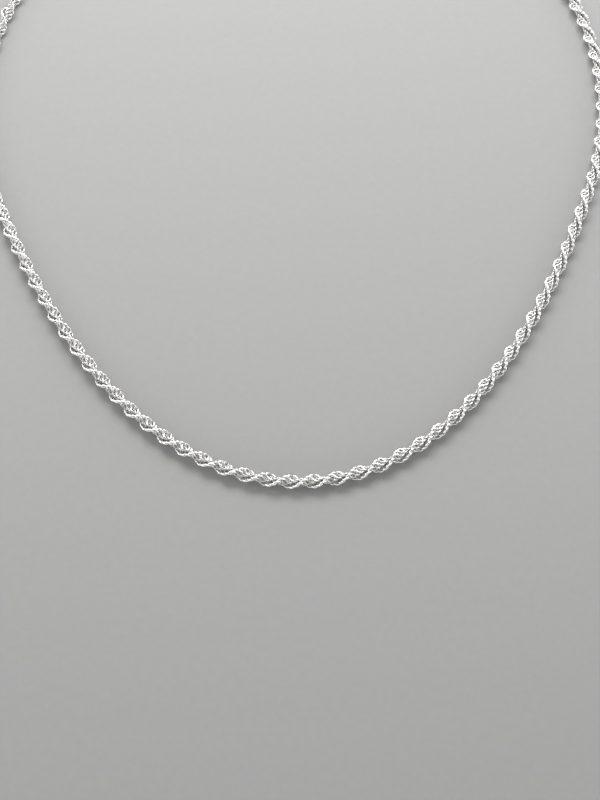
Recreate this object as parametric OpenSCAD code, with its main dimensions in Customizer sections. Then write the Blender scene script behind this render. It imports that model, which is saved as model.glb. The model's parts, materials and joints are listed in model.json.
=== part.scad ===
// Rope chain necklace with a lobster clasp, laid flat in the loop that it is worn in.
// The rope is a left-handed double spiral of closed round links. Each link passes
// through the next four, so that the links nest in long lens-shaped lobes.
// The origin is under the middle of the loop, on the surface that it lies on.

/* [Rope] */
// Radius of a link, to the middle of its wire
link_r = 0.99; // [0.98:0.005:1.01]
// Diameter of the link wire
wire_d = 0.215; // [0.18:0.005:0.22]
// Advance along the rope from one link to the next
link_pitch = 0.394; // [0.39:0.001:0.4]
// Turn from one link to the next, beyond half a turn
link_turn = 16; // [15.8:0.1:16.2]
// Distance of a link's centre from the rope's axis
link_offset = 0.283; // [0.278:0.001:0.288]
// Tilt of a link's own axis away from the rope's axis
link_tilt = 72; // [71.6:0.1:72.4]

/* [Loop] */
// Radius of the curve at the front, where the chain hangs lowest
front_r = 38.1; // [37:0.1:40]
// Length of each hanging side, from the front to the back curve
side_l = 93.7; // [92:0.1:96]
// Number of links in a section of the chain
section_links = 45; // [40:5:45]

/* [Findings] */
// Wire diameter of the end loops and jump rings
ring_wire_d = 0.6; // [0.5:0.05:0.65]
// Middle radius of a jump ring
jump_ring_r = 1.35; // [1.3:0.05:1.4]
// Thickness of the clasp's body
clasp_t = 2.4; // [2.2:0.1:2.6]
// Outer radius of the clasp's claw
claw_r = 2.75; // [2.7:0.05:2.9]
// Length of the tag
tag_l = 6.5; // [6:0.5:8]

/* [Hidden] */
$fn = 64;
ARC_STEPS = 24;
// Sections on each side of the front section
SIDE_SECTIONS = 11;
half_sections = SIDE_SECTIONS + 0.5;
// Each section's links lie in two nodes: a holds every fifth link, b the others
LINK_SETS = ["a", "b"];
SET_STEP = 5;
rope_r = link_offset + link_r + wire_d / 2;
rope_end = half_sections * section_links * link_pitch;
link_reach = (link_r + wire_d / 2) * sin(link_tilt);

// The back curve is a circle that meets both sides without a kink. The loop's middle is
// how far its centre lies behind the front of the rope's axis.
side_angle = atan(side_l / front_r);
side_x = front_r * asinh(side_l / front_r);
side_y = sqrt(front_r * front_r + side_l * side_l) - front_r;
back_r = side_x / sin(side_angle);
back_y = side_y + back_r * cos(side_angle);
loop_middle = 78.35;

// Findings
axis_z = rope_r;
cap_r = rope_r - 0.05;
cap_l = 2.2;
cap_recess = 0.3;
cap_gap = 0.04;
loop_r = 0.85;
end_loop_x = link_reach + cap_gap - cap_recess + cap_l + loop_r - 0.1;
ring_clear = 0.2;
ring_step = jump_ring_r + loop_r - ring_wire_d - ring_clear;
jump_z = jump_ring_r + ring_wire_d / 2;
eye_r = 1.0;
claw_x = 6.2;
catch_r = 1.6;
pivot = [3.55, 1.4];
rivet_r = 0.35;
slot_t = 1.5;
lever_t = 0.8;
spring_d = 0.24;
tag_t = 0.5;
tag_w = 3;

function section_name(side, i, set) = str("chain_", side, i < 10 ? "_0" : "_", i, "_", set);
function asinh(x) = ln(x + sqrt(x * x + 1));

// Place and heading of the rope's axis at length s from the middle of the front
function back_angle(s) = side_angle + (s - side_l) / back_r * 180 / PI;
function path_x(s) = s < 0 ? -path_x(-s)
    : s < side_l ? front_r * asinh(s / front_r)
    : back_r * sin(back_angle(s));
function path_y(s) = s < 0 ? path_y(-s)
    : s < side_l ? sqrt(front_r * front_r + s * s) - front_r
    : back_y - back_r * cos(back_angle(s));
function path_heading(s) = s < 0 ? -path_heading(-s)
    : s < side_l ? atan(s / front_r) : back_angle(s);

// Sets its children on the path, with +X along the rope
module on_path(s) {
    translate([path_x(s), path_y(s) - loop_middle, axis_z])
    rotate([0, 0, path_heading(s)])
    children();
}

// Sets its children at the last link of one end, with +X away from the rope
module at_end(side) {
    last = rope_end - link_pitch / 2;
    on_path(side * last)
    rotate([0, 0, side < 0 ? 180 : 0])
    children();
}

module torus(r, d) {
    rotate_extrude()
    translate([r, 0])
    circle(d = d);
}

// One closed link of the spiral, number k counted along the rope
module link(k) {
    on_path((k + 0.5) * link_pitch)
    mirror([0, 1, 0])
    rotate([k * (180 + link_turn), 0, 0])
    translate([0, link_offset, 0])
    rotate([-90, 0, 0])
    rotate([0, 0, link_tilt])
    rotate([0, 90, 0])
    torus(link_r, wire_d);
}

// One set of the links of section number n of the rope, where 0 is the front one
module chain_section(n, set) {
    first = n * section_links - section_links / 2;
    color("silver")
    for (k = [0 : section_links - 1])
        if ((k % SET_STEP == 0) == (set == "a"))
            link(first + k);
}

// Tapered cap soldered on the rope's last link, with a flat loop
module end_cap(side) {
    start = link_reach + cap_gap - cap_recess;
    shoulder = cap_l * 0.55;
    color("silver")
    at_end(side) {
        difference() {
            translate([start, 0, 0])
            rotate([0, 90, 0])
            union() {
                cylinder(h = shoulder, r = cap_r);
                translate([0, 0, shoulder])
                cylinder(h = cap_l - shoulder, r1 = cap_r, r2 = ring_wire_d * 1.1);
            }
            translate([start - 1, 0, 0])
            rotate([0, 90, 0])
            cylinder(h = 1 + cap_recess + 0.1, r = link_r + 0.1);
        }
        translate([end_loop_x, 0, 0])
        torus(loop_r, ring_wire_d);
    }
}

// Places a finding beyond an end loop, at distance x from it
module past_loop(side, x) {
    at_end(side)
    translate([end_loop_x + x, 0, 0])
    children();
}

// Upright ring that joins an end loop to what comes next
module upright_ring(side) {
    past_loop(side, ring_step)
    translate([0, 0, jump_z - axis_z])
    rotate([90, 0, 0])
    torus(jump_ring_r, ring_wire_d);
}

module jump_ring() {
    color("silver") upright_ring(-1);
}

module catch_ring() {
    color("silver") upright_ring(1);
}

// Frame of the clasp: the middle of its eye
module at_clasp() {
    past_loop(-1, ring_step + jump_ring_r + eye_r - ring_wire_d - ring_clear)
    children();
}

// Points on an arc, with a positive or a negative sweep
function arc(centre, r, a1, a2) = [for (i = [0 : ARC_STEPS])
    let (a = a1 + (a2 - a1) * i / ARC_STEPS) centre + r * [cos(a), sin(a)]];

// Outline that tapers from one round end to another
function tapered_outline(r1, r2, l) =
    let (a = asin((r2 - r1) / l))
    concat(arc([0, 0], r1, 90 + a, 270 - a), arc([l, 0], r2, -90 - a, 90 + a));

module prism(outline, t) {
    translate([0, 0, -t / 2])
    linear_extrude(t)
    polygon(outline);
}

module through_hole(x, y, r) {
    translate([x, y, -clasp_t])
    cylinder(h = 2 * clasp_t, r = r);
}

module clasp_body() {
    eye_wall = 0.6;
    eye_t = 1;
    nose_angle = 45;
    mouth_angle = 112;
    mouth = concat([[claw_x, 0]], arc([claw_x, 0], 2 * claw_r, nose_angle, mouth_angle));
    slot = [[2.3, -0.6], [5.2, -0.6], [6.4, 4], [2.3, 4]];
    color("silver")
    at_clasp()
    difference() {
        prism(tapered_outline(eye_r + eye_wall, claw_r, claw_x), clasp_t);
        through_hole(0, 0, eye_r);
        through_hole(claw_x, 0, catch_r);
        through_hole(pivot[0], pivot[1], rivet_r);
        prism(mouth, 2 * clasp_t);
        prism(slot, slot_t);
        // The eye is thinner than the claw, so that a ring turns in it
        for (up = [0, 180])
            rotate([up, 0, 0])
            translate([-2 * eye_r, -2 * eye_r, eye_t / 2])
            cube([3.4 * eye_r, 4 * eye_r, clasp_t]);
    }
}

// Gate of the claw with its hub and thumb knob, in one outline. Its tip ends just
// inside the claw's nose, nearer to the rivet, so that the gate opens inwards.
module clasp_lever() {
    gate_inner = catch_r + 0.1;
    gate_outer = claw_r - 0.15;
    knob = [4.2, 2.8];
    knob_r = 0.45;
    hub_r = 0.8;
    outline = concat(
        arc([claw_x, 0], gate_outer, 70, 125),
        arc(knob, knob_r, -30, 200),
        arc(pivot, hub_r, 75, 300),
        arc([claw_x, 0], gate_inner, 155, 52));
    color("silver")
    at_clasp()
    difference() {
        prism(outline, lever_t);
        through_hole(pivot[0], pivot[1], rivet_r + 0.04);
    }
}

// Rivet through both cheeks of the clasp, with a low head on each side
module clasp_rivet() {
    head_r = 0.6;
    head_h = 0.15;
    color("gainsboro")
    at_clasp()
    translate([pivot[0], pivot[1], 0]) {
        translate([0, 0, -clasp_t / 2])
        cylinder(h = clasp_t, r = rivet_r);
        for (up = [0, 180])
            rotate([up, 0, 0])
            translate([0, 0, clasp_t / 2])
            cylinder(h = head_h, r = head_r);
    }
}

// Hairpin spring beside the lever: half a turn round the rivet and two legs
module clasp_spring() {
    coil_r = rivet_r + 0.04 + spring_d / 2;
    leg_l = 1.1;
    color("darkgray")
    at_clasp()
    translate([pivot[0], pivot[1], (lever_t + slot_t) / 4]) {
        rotate([0, 0, 90])
        rotate_extrude(angle = 180)
        translate([coil_r, 0])
        circle(d = spring_d);
        for (side = [-1, 1])
            translate([0, side * coil_r, 0])
            rotate([0, 90, 0])
            cylinder(h = leg_l, d = spring_d);
    }
}

// Plain oval tag that hangs flat on the catch ring
module tag() {
    hole_r = 0.75;
    end_r = tag_w / 2;
    flat_l = tag_l - tag_w;
    color("silver")
    past_loop(1, ring_step + jump_ring_r + hole_r - ring_wire_d / 2 - 0.05)
    difference() {
        prism(concat(arc([0, 0], end_r, 90, 270), arc([flat_l, 0], end_r, -90, 90)), tag_t);
        through_hole(0, 0, hole_r);
    }
}

for (set = LINK_SETS) {
    chain_section(0, set);
    for (i = [1 : SIDE_SECTIONS]) {
        chain_section(-i, set);
        chain_section(i, set);
    }
}
end_cap(-1);  // end_cap_left
end_cap(1);  // end_cap_right
jump_ring();
catch_ring();
clasp_body();
clasp_lever();
clasp_rivet();
clasp_spring();
tag();
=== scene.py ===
# %% [markdown]
# # A rope chain necklace in polished silver
# The necklace lies open in the loop that it is worn in. Its rope is a left-handed double
# spiral of round links, on the real chain each threaded through the next four. The frame
# brings the working model, with its sizes, bodies and joints, and this lesson builds the
# looks around it.

# %% Load the frame
import json
import math

import bmesh
import bpy
from mathutils import Matrix, Vector


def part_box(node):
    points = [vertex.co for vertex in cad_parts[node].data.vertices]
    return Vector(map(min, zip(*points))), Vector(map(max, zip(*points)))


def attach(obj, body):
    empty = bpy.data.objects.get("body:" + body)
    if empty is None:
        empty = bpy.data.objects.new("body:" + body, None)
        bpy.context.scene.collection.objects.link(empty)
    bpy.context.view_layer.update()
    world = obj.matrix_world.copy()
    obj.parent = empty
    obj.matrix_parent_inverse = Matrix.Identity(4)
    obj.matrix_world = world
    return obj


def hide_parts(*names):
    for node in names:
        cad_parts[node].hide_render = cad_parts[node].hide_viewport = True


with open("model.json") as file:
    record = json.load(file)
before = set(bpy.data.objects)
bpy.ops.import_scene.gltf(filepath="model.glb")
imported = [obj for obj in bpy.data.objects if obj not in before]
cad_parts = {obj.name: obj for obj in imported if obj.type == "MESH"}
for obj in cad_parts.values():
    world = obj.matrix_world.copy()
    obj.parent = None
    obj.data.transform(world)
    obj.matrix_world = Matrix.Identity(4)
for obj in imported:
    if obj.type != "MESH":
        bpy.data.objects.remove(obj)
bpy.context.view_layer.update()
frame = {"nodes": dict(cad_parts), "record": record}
record = frame["record"]

# %% [markdown]
# ## Sizes
# Everything is in metres. The loop, the pitch of the links and their turn repeat the
# working model's own figures. The links themselves don't: the wire is about twice as
# thick, and the links are smaller and lean over, because the working model needs thin
# wire to keep its threaded links clear of each other. Here the wires run into each other
# where real ones press together.

# %% Sizes of the rope and of the loop
MM = 0.001
LINK_R = 0.75 * MM
LINK_WIRE = 0.42 * MM
LINK_PITCH = 0.394 * MM
LINK_TURN = math.radians(180 + 16)
LINK_OFFSET = 0.55 * MM
LINK_TILT = math.radians(78)
LINK_LEAN = math.radians(45)
SECTION_LINKS = 45
SIDE_SECTIONS = 11
FRONT_R = 38.1 * MM
SIDE_L = 93.7 * MM
LOOP_MIDDLE = 78.35 * MM

AXIS_Z = (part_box("end_cap_left")[0].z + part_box("end_cap_left")[1].z) / 2
SIDE_ANGLE = math.atan(SIDE_L / FRONT_R)
SIDE_X = FRONT_R * math.asinh(SIDE_L / FRONT_R)
SIDE_Y = math.hypot(FRONT_R, SIDE_L) - FRONT_R
BACK_R = SIDE_X / math.sin(SIDE_ANGLE)
BACK_Y = SIDE_Y + BACK_R * math.cos(SIDE_ANGLE)
print("rope's axis is", round(AXIS_Z / MM, 2), "mm up")
print("back curve's radius is", round(BACK_R / MM, 1), "mm")

# %% [markdown]
# ## The rope's path
# The loop starts at the front as a catenary, the curve in which a chain hangs by its own
# weight, and goes on behind the neck as part of a circle. Both have simple formulas, so a
# point and a heading at any length along the rope come straight from them.


# %% The rope's path
def path_point(s):
    """Place and heading of the rope's axis at length s from the middle of the front."""
    length = abs(s)
    if length < SIDE_L:
        x = FRONT_R * math.asinh(length / FRONT_R)
        y = math.hypot(FRONT_R, length) - FRONT_R
        heading = math.atan(length / FRONT_R)
    else:
        heading = SIDE_ANGLE + (length - SIDE_L) / BACK_R
        x = BACK_R * math.sin(heading)
        y = BACK_Y - BACK_R * math.cos(heading)
    side = 1 if s >= 0 else -1
    return Vector((side * x, y - LOOP_MIDDLE, AXIS_Z)), side * heading


def on_path(s):
    """Matrix that sets a piece on the path, with +X along the rope."""
    place, heading = path_point(s)
    return Matrix.Translation(place) @ Matrix.Rotation(heading, 4, "Z")


ROPE_HALF = (SIDE_SECTIONS + 0.5) * SECTION_LINKS * LINK_PITCH
print("rope is", round(2 * ROPE_HALF / MM), "mm long, its ends",
      round((path_point(ROPE_HALF)[0] - path_point(-ROPE_HALF)[0]).length / MM), "mm apart")

# %% [markdown]
# ## Helpers
# A new piece starts as a primitive, is shaped in edit mode, and then has its place written
# into its mesh, so that its object stays at the origin as the frame's own pieces do.


# %% Modelling helpers
def start_clean():
    """Leaves edit mode and deselects everything, because operators act on what is selected."""
    if bpy.context.object and bpy.context.object.mode != "OBJECT":
        bpy.ops.object.mode_set(mode="OBJECT")
    bpy.ops.object.select_all(action="DESELECT")


def activate(piece):
    start_clean()
    piece.select_set(True)
    bpy.context.view_layer.objects.active = piece


def apply_modifier(piece, kind, **settings):
    activate(piece)
    modifier = piece.modifiers.new(kind.title(), kind)
    for key, value in settings.items():
        setattr(modifier, key, value)
    bpy.ops.object.modifier_apply(modifier=modifier.name)


def settle(piece, name):
    """Names a piece and writes its place into its mesh."""
    activate(piece)
    bpy.ops.object.transform_apply(location=True, rotation=True, scale=True)
    piece.name = name
    piece.data.name = name
    piece.data.update()
    return piece


def outward_normals(piece):
    activate(piece)
    bpy.ops.object.mode_set(mode="EDIT")
    bpy.ops.mesh.select_all(action="SELECT")
    bpy.ops.mesh.remove_doubles(threshold=0.002 * MM)
    bpy.ops.mesh.normals_make_consistent(inside=False)
    bpy.ops.object.mode_set(mode="OBJECT")


def copy_of(piece, matrix):
    """A copy with its own mesh, set in place by a matrix."""
    twin = bpy.data.objects.new(piece.name, piece.data.copy())
    twin.data.transform(matrix)
    bpy.context.collection.objects.link(twin)
    return twin


def join(pieces, name):
    start_clean()
    for piece in pieces:
        piece.select_set(True)
    bpy.context.view_layer.objects.active = pieces[0]
    bpy.ops.object.join()
    whole = bpy.context.object
    whole.name = name
    whole.data.name = name
    return whole


def fuse(piece, tool):
    """Union of a piece with a tool, which is then thrown away."""
    apply_modifier(piece, "BOOLEAN", operation="UNION", solver="EXACT", object=tool)
    bpy.data.objects.remove(tool, do_unlink=True)


def show_size(piece):
    size = piece.dimensions
    print(piece.name, len(piece.data.polygons), "faces", [round(v / MM, 2) for v in size], "mm")


# %% [markdown]
# ## Shader helpers
# Shader maths reads best as plain expressions. A small class wraps a socket and overloads
# the operators, so that `1 - mask` adds the Math node by itself. One method makes any
# other node.


# %% Shader helpers
class Wire:
    """A socket that takes part in Python expressions."""

    def __init__(self, shader, socket):
        self.shader = shader
        self.socket = socket

    def _math(self, operation, first, second):
        made = self.shader.node("ShaderNodeMath", {"operation": operation}, {0: first, 1: second})
        return Wire(self.shader, made.outputs[0])

    def __add__(self, other):
        return self._math("ADD", self, other)

    __radd__ = __add__

    def __rsub__(self, other):
        return self._math("SUBTRACT", other, self)

    def __mul__(self, other):
        return self._math("MULTIPLY", self, other)

    __rmul__ = __mul__


class Shader:
    """A material whose Principled BSDF is fed by procedural nodes."""

    def __init__(self, name, **constants):
        self.material = bpy.data.materials.new(name)
        self.material.use_nodes = True
        self.tree = self.material.node_tree
        self.surface = self.tree.nodes["Principled BSDF"]
        for key, value in constants.items():
            self.surface.inputs[key.replace("_", " ")].default_value = value

    def node(self, kind, settings=None, inputs=None):
        made = self.tree.nodes.new(kind)
        for key, value in (settings or {}).items():
            setattr(made, key, value)
        for key, value in (inputs or {}).items():
            if isinstance(value, Wire):
                self.tree.links.new(value.socket, made.inputs[key])
            else:
                made.inputs[key].default_value = value
        return made

    def wire(self, made, output=0):
        return Wire(self, made.outputs[output])

    def place(self):
        return self.wire(self.node("ShaderNodeTexCoord"), "Object")

    def noise(self, scale, detail=2.0, roughness=0.5):
        made = self.node("ShaderNodeTexNoise", None,
                         {"Vector": self.place(), "Scale": scale, "Detail": detail,
                          "Roughness": roughness})
        return self.wire(made, "Fac")

    def ramp(self, value, low, high):
        """From 0 at low to 1 at high."""
        made = self.node("ShaderNodeMapRange", {"clamp": True},
                         {"Value": value, "From Min": low, "From Max": high})
        return self.wire(made)

    def attribute(self, name):
        return self.wire(self.node("ShaderNodeAttribute", {"attribute_name": name}), "Fac")

    def mix(self, factor, first, second):
        made = self.node("ShaderNodeMix", {"data_type": "RGBA"}, {0: factor, 6: first, 7: second})
        return self.wire(made, 2)

    def bump(self, height, strength, distance):
        made = self.node("ShaderNodeBump", None,
                         {"Height": height, "Strength": strength, "Distance": distance})
        return self.wire(made)

    def feed(self, **values):
        for key, value in values.items():
            self.tree.links.new(value.socket, self.surface.inputs[key.replace("_", " ")])


# %% [markdown]
# ## Silver
# Polished silver is a near-white metal. Its wire isn't perfect: drawing leaves fine lines,
# polishing leaves haze, and the inside of the rope is rougher and painted a darker grey,
# a painted shade for the shade that falls between the links. The painted shade follows an
# attribute that each link carries: how far out from the rope's axis the metal lies.


# %% Silver finishes
def rope_silver():
    shader = Shader("rope_silver", Metallic=1.0)
    outward = shader.attribute("outward")
    # Mask that is 0 deep in the rope and 1 on its outside: it sets where the painted shade and
    # the higher roughness go.
    polished_and_unshaded = shader.ramp(outward, 0.45, 0.8)
    cloud = shader.noise(900.0, 3.0)
    bright = shader.mix(cloud, (0.98, 0.98, 0.975, 1), (0.94, 0.94, 0.935, 1))
    # This grey is painted shade: it darkens the inside of the rope, where shade falls between the
    # links.
    painted_shade = shader.mix(cloud, (0.62, 0.61, 0.59, 1), (0.76, 0.75, 0.73, 1))
    haze = shader.noise(5200.0, 4.0, 0.7)
    shader.feed(
        Base_Color=shader.mix(polished_and_unshaded, painted_shade, bright),
        Roughness=0.16 + 0.12 * haze + 0.15 * (1 - polished_and_unshaded),
        Normal=shader.bump(shader.noise(2600.0, 3.0), 0.10, 0.02 * MM))
    return shader.material


def cast_silver():
    shader = Shader("cast_silver", Metallic=1.0)
    cloud = shader.noise(420.0, 3.0)
    scratch = shader.noise(6000.0, 2.0, 0.8)
    shader.feed(
        Base_Color=shader.mix(cloud, (0.95, 0.94, 0.925, 1), (0.88, 0.875, 0.86, 1)),
        Roughness=0.12 + 0.16 * scratch * cloud,
        Normal=shader.bump(shader.noise(1500.0, 4.0), 0.12, 0.03 * MM))
    return shader.material


def spring_steel():
    shader = Shader("spring_steel", Metallic=1.0)
    lines = shader.noise(3000.0, 2.0)
    shader.feed(
        Base_Color=shader.mix(lines, (0.62, 0.62, 0.63, 1), (0.50, 0.50, 0.51, 1)),
        Roughness=0.22 + 0.15 * lines)
    return shader.material


ROPE_SILVER = rope_silver()
CAST_SILVER = cast_silver()
SPRING_STEEL = spring_steel()
print("finishes", ROPE_SILVER.name, CAST_SILVER.name, SPRING_STEEL.name)

# %% [markdown]
# ## One link
# A link is drawn wire, bent to a ring and soldered shut. Spinning a small circle round an
# axis bends the wire, and its last ring of points is merged with its first. A thousand
# copies follow, so it has few faces, and smooth shading hides them.

# %% Model one link
WIRE_SIDES = 6
RING_STEPS = 16
start_clean()
bpy.ops.mesh.primitive_circle_add(
    vertices=WIRE_SIDES, radius=LINK_WIRE / 2,
    location=(LINK_R, 0, 0), rotation=(math.pi / 2, 0, 0))
link = settle(bpy.context.object, "link")
activate(link)
bpy.ops.object.mode_set(mode="EDIT")
bpy.ops.mesh.select_all(action="SELECT")
bpy.ops.mesh.spin(steps=RING_STEPS, angle=math.tau, center=(0, 0, 0), axis=(0, 0, 1))
bpy.ops.object.mode_set(mode="OBJECT")
outward_normals(link)
activate(link)
bpy.ops.object.shade_smooth()
show_size(link)


# %% [markdown]
# ## The rope
# Link number k is turned about the rope's axis by half a turn and 16 degrees more than
# the last, so the even and the odd links make two strands that wind round each other.
# Its offset, tilt and lean were chosen for the look of the lobes. A section of 45
# links rides on each body of the chain, and stands for both of that section's nodes.


# %% Wind the rope
def link_matrix(k):
    """Place of link k round the rope's axis, before the rope is bent along its path."""
    return (Matrix.Rotation(-k * LINK_TURN, 4, "X")
            @ Matrix.Translation((0, -LINK_OFFSET, 0))
            @ Matrix.Rotation(math.pi / 2 - LINK_LEAN, 4, "X")
            @ Matrix.Rotation(-LINK_TILT, 4, "Z")
            @ Matrix.Rotation(math.pi / 2, 4, "Y"))


ROPE_R = LINK_OFFSET + LINK_R + LINK_WIRE / 2


def wind_link(k):
    """One link in the rope, with the attribute that says how far out its metal lies."""
    round_axis = link_matrix(k)
    twin = copy_of(link, round_axis)
    outward = twin.data.attributes.new("outward", "FLOAT", "POINT")
    outward.data.foreach_set(
        "value", [math.hypot(v.co.y, v.co.z) / ROPE_R for v in twin.data.vertices])
    twin.data.transform(on_path((k + 0.5) * LINK_PITCH))
    return twin


def wind_section(number, name):
    first = (number - 0.5) * SECTION_LINKS
    section = join([wind_link(first + k) for k in range(SECTION_LINKS)], "rope_" + name)
    section.data.materials.clear()
    section.data.materials.append(ROPE_SILVER)
    return section


def body_holding(node):
    return next(name for name, nodes in record["behaviour"]["bodies"].items() if node in nodes)


sections = {0: "front_00"}
for number in range(1, SIDE_SECTIONS + 1):
    sections[-number] = "left_%02d" % number
    sections[number] = "right_%02d" % number
for number, name in sections.items():
    section = wind_section(number, name)
    nodes = [node for node in frame["nodes"] if node.startswith("chain_" + name)]
    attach(section, body_holding(nodes[0]))
    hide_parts(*nodes)
bpy.data.objects.remove(link, do_unlink=True)
print(len(sections), "sections of", SECTION_LINKS, "links")

# %% [markdown]
# ## Findings
# Findings are the small fittings at the ends: caps, rings, clasp and tag. They are cast
# or stamped, so their edges are rounded by tumbling. Their shapes come from the frame:
# a copy of each is merged, its flat faces are joined up, and its sharp edges bevelled.


# %% Soften a copy of a working part
def finish_as(piece, node, material):
    piece.data.materials.clear()
    piece.data.materials.append(material)
    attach(piece, body_holding(node))
    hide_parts(node)
    show_size(piece)


def softened(node, name, edge):
    piece = frame["nodes"][node].copy()
    piece.data = piece.data.copy()
    piece.parent = None
    piece.matrix_world = Matrix.Identity(4)
    bpy.context.collection.objects.link(piece)
    piece.name = name
    piece.data.name = name
    outward_normals(piece)
    apply_modifier(piece, "DECIMATE", decimate_type="DISSOLVE", angle_limit=math.radians(0.5))
    apply_modifier(piece, "BEVEL", width=edge, segments=3, limit_method="ANGLE",
                   angle_limit=math.radians(35))
    activate(piece)
    bpy.ops.object.shade_smooth_by_angle(angle=math.radians(40))
    return piece


for node, name, edge, material, slot_name in (
        ("clasp_body", "lobster_body", 0.22, CAST_SILVER, "findings"),
        ("clasp_lever", "lobster_lever", 0.12, CAST_SILVER, "findings"),
        ("clasp_rivet", "lobster_rivet", 0.06, CAST_SILVER, "findings"),
        ("clasp_spring", "lobster_spring", 0.03, SPRING_STEEL, "spring"),
        ("tag", "quality_tag", 0.10, CAST_SILVER, "findings")):
    finish_as(softened(node, name, edge * MM), node, material)


# %% [markdown]
# ## Rings
# A jump ring is a round of wire whose ends butt together, and the thin seam shows. A
# filled circle spun almost all the way round leaves that seam, with both ends closed.


# %% Jump ring and catch ring
RING_WIRE = 0.6 * MM
RING_R = 1.35 * MM
SEAM = 0.05 * MM
SEAM_TURN = math.radians(250)


def end_frame(side):
    """Frame at the last link of one end, with +X away from the rope."""
    turn = math.pi if side < 0 else 0
    return on_path(side * (ROPE_HALF - LINK_PITCH / 2)) @ Matrix.Rotation(turn, 4, "Z")


def butted_ring(name, node, side):
    start_clean()
    bpy.ops.mesh.primitive_circle_add(
        vertices=20, radius=RING_WIRE / 2, fill_type="NGON",
        location=(RING_R, 0, 0), rotation=(math.pi / 2, 0, 0))
    ring = settle(bpy.context.object, name)
    activate(ring)
    bpy.ops.object.mode_set(mode="EDIT")
    bpy.ops.mesh.select_all(action="SELECT")
    bpy.ops.mesh.spin(steps=56, angle=math.tau - SEAM / RING_R, center=(0, 0, 0), axis=(0, 0, 1))
    bpy.ops.object.mode_set(mode="OBJECT")
    outward_normals(ring)
    apply_modifier(ring, "BEVEL", width=0.04 * MM, segments=2, limit_method="ANGLE",
                   angle_limit=math.radians(60))
    low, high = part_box(node)
    upright = end_frame(side).to_3x3().to_4x4() @ Matrix.Rotation(math.pi / 2, 4, "X")
    ring.data.transform(Matrix.Translation((low + high) / 2) @ upright
                        @ Matrix.Rotation(SEAM_TURN, 4, "Z"))
    activate(ring)
    bpy.ops.object.shade_smooth_by_angle(angle=math.radians(40))
    finish_as(ring, node, CAST_SILVER)


butted_ring("butted_jump_ring", "jump_ring", -1)
butted_ring("butted_catch_ring", "catch_ring", 1)

# %% [markdown]
# ## End caps
# An end cap is a turned cup soldered on the rope's last link, with a loop for the ring.
# A cylinder is its blank: one end face is drawn out to a cone, the other is sunk, and two
# beads are turned round the body, as a maker would to hide the solder.

# %% End caps
CAP_R = 1.33 * MM
CAP_L = 2.2 * MM
CAP_SHOULDER = 0.55 * CAP_L
CAP_START = 0.784 * MM
CUP_DEPTH = 0.3 * MM
CUP_GAP = 0.1 * MM
BEAD_WIRE = 0.24 * MM
LOOP_R = 0.85 * MM


def select_end(piece, x, facing):
    """Selects the faces that look along X at height x on the piece."""
    bpy.ops.mesh.select_all(action="DESELECT")
    bpy.ops.mesh.select_mode(type="FACE")
    mesh = bmesh.from_edit_mesh(piece.data)
    for face in mesh.faces:
        at = face.calc_center_median()
        face.select = face.normal.x * facing > 0.9 and abs(at.x - x) < 0.05 * MM
    bmesh.update_edit_mesh(piece.data)


def end_cap(name, node, side):
    start_clean()
    bpy.ops.mesh.primitive_cylinder_add(
        vertices=48, radius=CAP_R, depth=CAP_SHOULDER,
        location=(CAP_START + CAP_SHOULDER / 2, 0, 0), rotation=(0, math.pi / 2, 0))
    cap = settle(bpy.context.object, name)
    activate(cap)
    bpy.ops.object.mode_set(mode="EDIT")
    select_end(cap, CAP_START + CAP_SHOULDER, 1)
    bpy.ops.mesh.extrude_region_move(
        TRANSFORM_OT_translate={"value": (CAP_L - CAP_SHOULDER, 0, 0)})
    bpy.ops.transform.resize(value=(1, 0.5, 0.5), center_override=(CAP_START + CAP_L, 0, 0))
    select_end(cap, CAP_START, -1)
    bpy.ops.mesh.inset(thickness=CAP_R - LINK_R - CUP_GAP)
    bpy.ops.mesh.extrude_region_move(TRANSFORM_OT_translate={"value": (CUP_DEPTH, 0, 0)})
    bpy.ops.object.mode_set(mode="OBJECT")
    apply_modifier(cap, "BEVEL", width=0.07 * MM, segments=3, limit_method="ANGLE",
                   angle_limit=math.radians(25))
    beads = []
    for x in (0.28 * CAP_SHOULDER, 0.78 * CAP_SHOULDER):
        start_clean()
        bpy.ops.mesh.primitive_torus_add(
            major_radius=CAP_R - 0.07 * MM, minor_radius=BEAD_WIRE / 2, major_segments=48,
            minor_segments=10, location=(CAP_START + x, 0, 0), rotation=(0, math.pi / 2, 0))
        beads.append(settle(bpy.context.object, "bead"))
    start_clean()
    bpy.ops.mesh.primitive_torus_add(
        major_radius=LOOP_R, minor_radius=RING_WIRE / 2, major_segments=48, minor_segments=16,
        location=(CAP_START + CAP_L + LOOP_R - 0.1 * MM, 0, 0))
    beads.append(settle(bpy.context.object, "loop"))
    for bead in beads:
        fuse(cap, bead)
    cap.data.transform(end_frame(side))
    activate(cap)
    bpy.ops.object.shade_smooth_by_angle(angle=math.radians(35))
    finish_as(cap, node, CAST_SILVER)


end_cap("turned_cap_left", "end_cap_left", -1)
end_cap("turned_cap_right", "end_cap_right", 1)

# %% [markdown]
# ## Floor
# The necklace lies on a plain pale floor. A faint grain keeps it from looking like
# plastic, and a high roughness keeps the necklace's reflection out of it.

# %% Floor
start_clean()
bpy.ops.mesh.primitive_plane_add(size=3.0)
floor = settle(bpy.context.object, "floor")
floor_shader = Shader("pale_floor", Roughness=0.85)
grain = floor_shader.noise(700.0, 4.0, 0.6)
floor_shader.feed(
    Base_Color=floor_shader.mix(grain, (0.345, 0.345, 0.34, 1), (0.375, 0.375, 0.37, 1)),
    Normal=floor_shader.bump(grain, 0.15, 0.1 * MM))
floor.data.materials.append(floor_shader.material)


# %% [markdown]
# ## Light
# Polished silver shows what is round it, so the light is what it reflects. A wide soft
# panel stands behind and above, and two weak ones at the sides add glints. The
# surroundings are bright near the horizon and dark overhead, so that the wires have
# bright flanks and grey tops, and they are brighter on the near side than on the far one.


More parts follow.
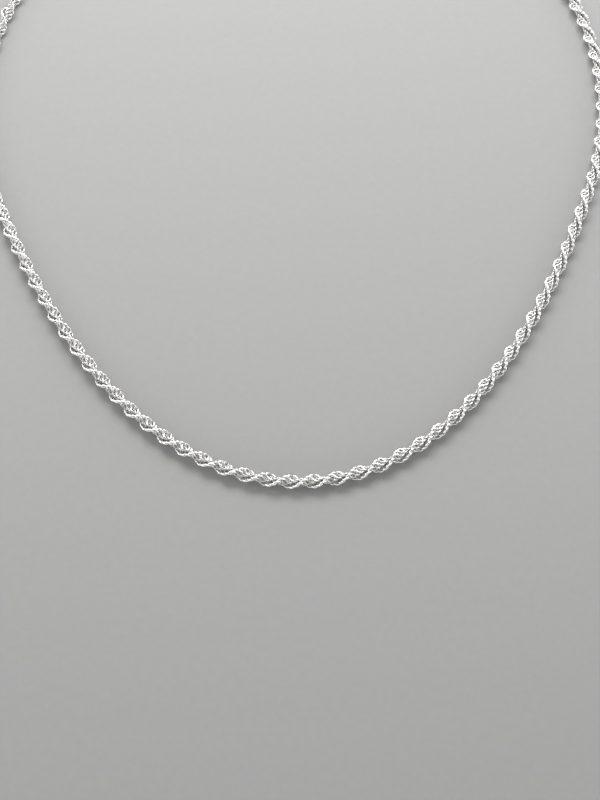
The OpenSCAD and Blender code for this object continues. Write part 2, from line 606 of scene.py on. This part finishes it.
# %% Soft panels
def soft_panel(name, place, aim, size, watts):
    light = bpy.data.lights.new(name, "AREA")
    light.shape = "RECTANGLE"
    light.size = size[0]
    light.size_y = size[1]
    light.energy = watts
    lamp = bpy.data.objects.new(name, light)
    lamp.location = place
    lamp.rotation_euler = (Vector(aim) - Vector(place)).to_track_quat("-Z", "Y").to_euler()
    bpy.context.collection.objects.link(lamp)


soft_panel("key_panel", (0.0, 0.22, 0.27), (0, 0.02, 0), (0.36, 0.14), 1.5)
soft_panel("left_panel", (-0.36, 0.0, 0.26), (0, 0, 0), (0.10, 0.30), 0.35)
soft_panel("right_panel", (0.36, 0.05, 0.22), (0, 0, 0), (0.08, 0.30), 0.3)

# %% Surroundings
HORIZON = (1.0, 1.0, 1.0, 1)
OVERHEAD = (0.14, 0.14, 0.145, 1)
HORIZON_TOP = 0.15
OVERHEAD_FOOT = 0.75
NEAR_STRENGTH = 1.7
FAR_STRENGTH = 1.1
world = bpy.data.worlds.new("studio")
bpy.context.scene.world = world
world.use_nodes = True
tree = world.node_tree
direction = tree.nodes.new("ShaderNodeTexCoord")
split = tree.nodes.new("ShaderNodeSeparateXYZ")
ramp = tree.nodes.new("ShaderNodeValToRGB")
ramp.color_ramp.elements[0].position = HORIZON_TOP
ramp.color_ramp.elements[0].color = HORIZON
ramp.color_ramp.elements[1].position = OVERHEAD_FOOT
ramp.color_ramp.elements[1].color = OVERHEAD
near = tree.nodes.new("ShaderNodeMapRange")
near.inputs["From Min"].default_value = -1
near.inputs["To Min"].default_value = NEAR_STRENGTH
near.inputs["To Max"].default_value = FAR_STRENGTH
tree.links.new(direction.outputs["Generated"], split.inputs[0])
tree.links.new(split.outputs["Z"], ramp.inputs["Fac"])
tree.links.new(ramp.outputs["Color"], tree.nodes["Background"].inputs["Color"])
tree.links.new(split.outputs["Y"], near.inputs["Value"])
tree.links.new(near.outputs[0], tree.nodes["Background"].inputs["Strength"])

# %% [markdown]
# ## Camera
# The camera looks down steeply at the front of the loop, so that the front curve fills
# the width of the view and the two ends run out of it at the top.

# %% Camera
ELEVATION = math.radians(69.4)
DISTANCE = 0.237
AIM = Vector((-0.0006, -0.0611, 0))
ROLL = math.radians(-2.24)
camera_data = bpy.data.cameras.new("camera")
camera_data.sensor_fit = "HORIZONTAL"
camera_data.sensor_width = 36
camera_data.lens = 72.06
camera_data.clip_start = 0.01
camera = bpy.data.objects.new("camera", camera_data)
bpy.context.collection.objects.link(camera)
away = Vector((0, -math.cos(ELEVATION), math.sin(ELEVATION)))
camera.matrix_world = (Matrix.Translation(AIM + DISTANCE * away)
                       @ Matrix.Rotation(math.pi / 2 - ELEVATION, 4, "X")
                       @ Matrix.Rotation(ROLL, 4, "Z"))
bpy.context.scene.camera = camera
bpy.context.scene.view_settings.view_transform = "Standard"
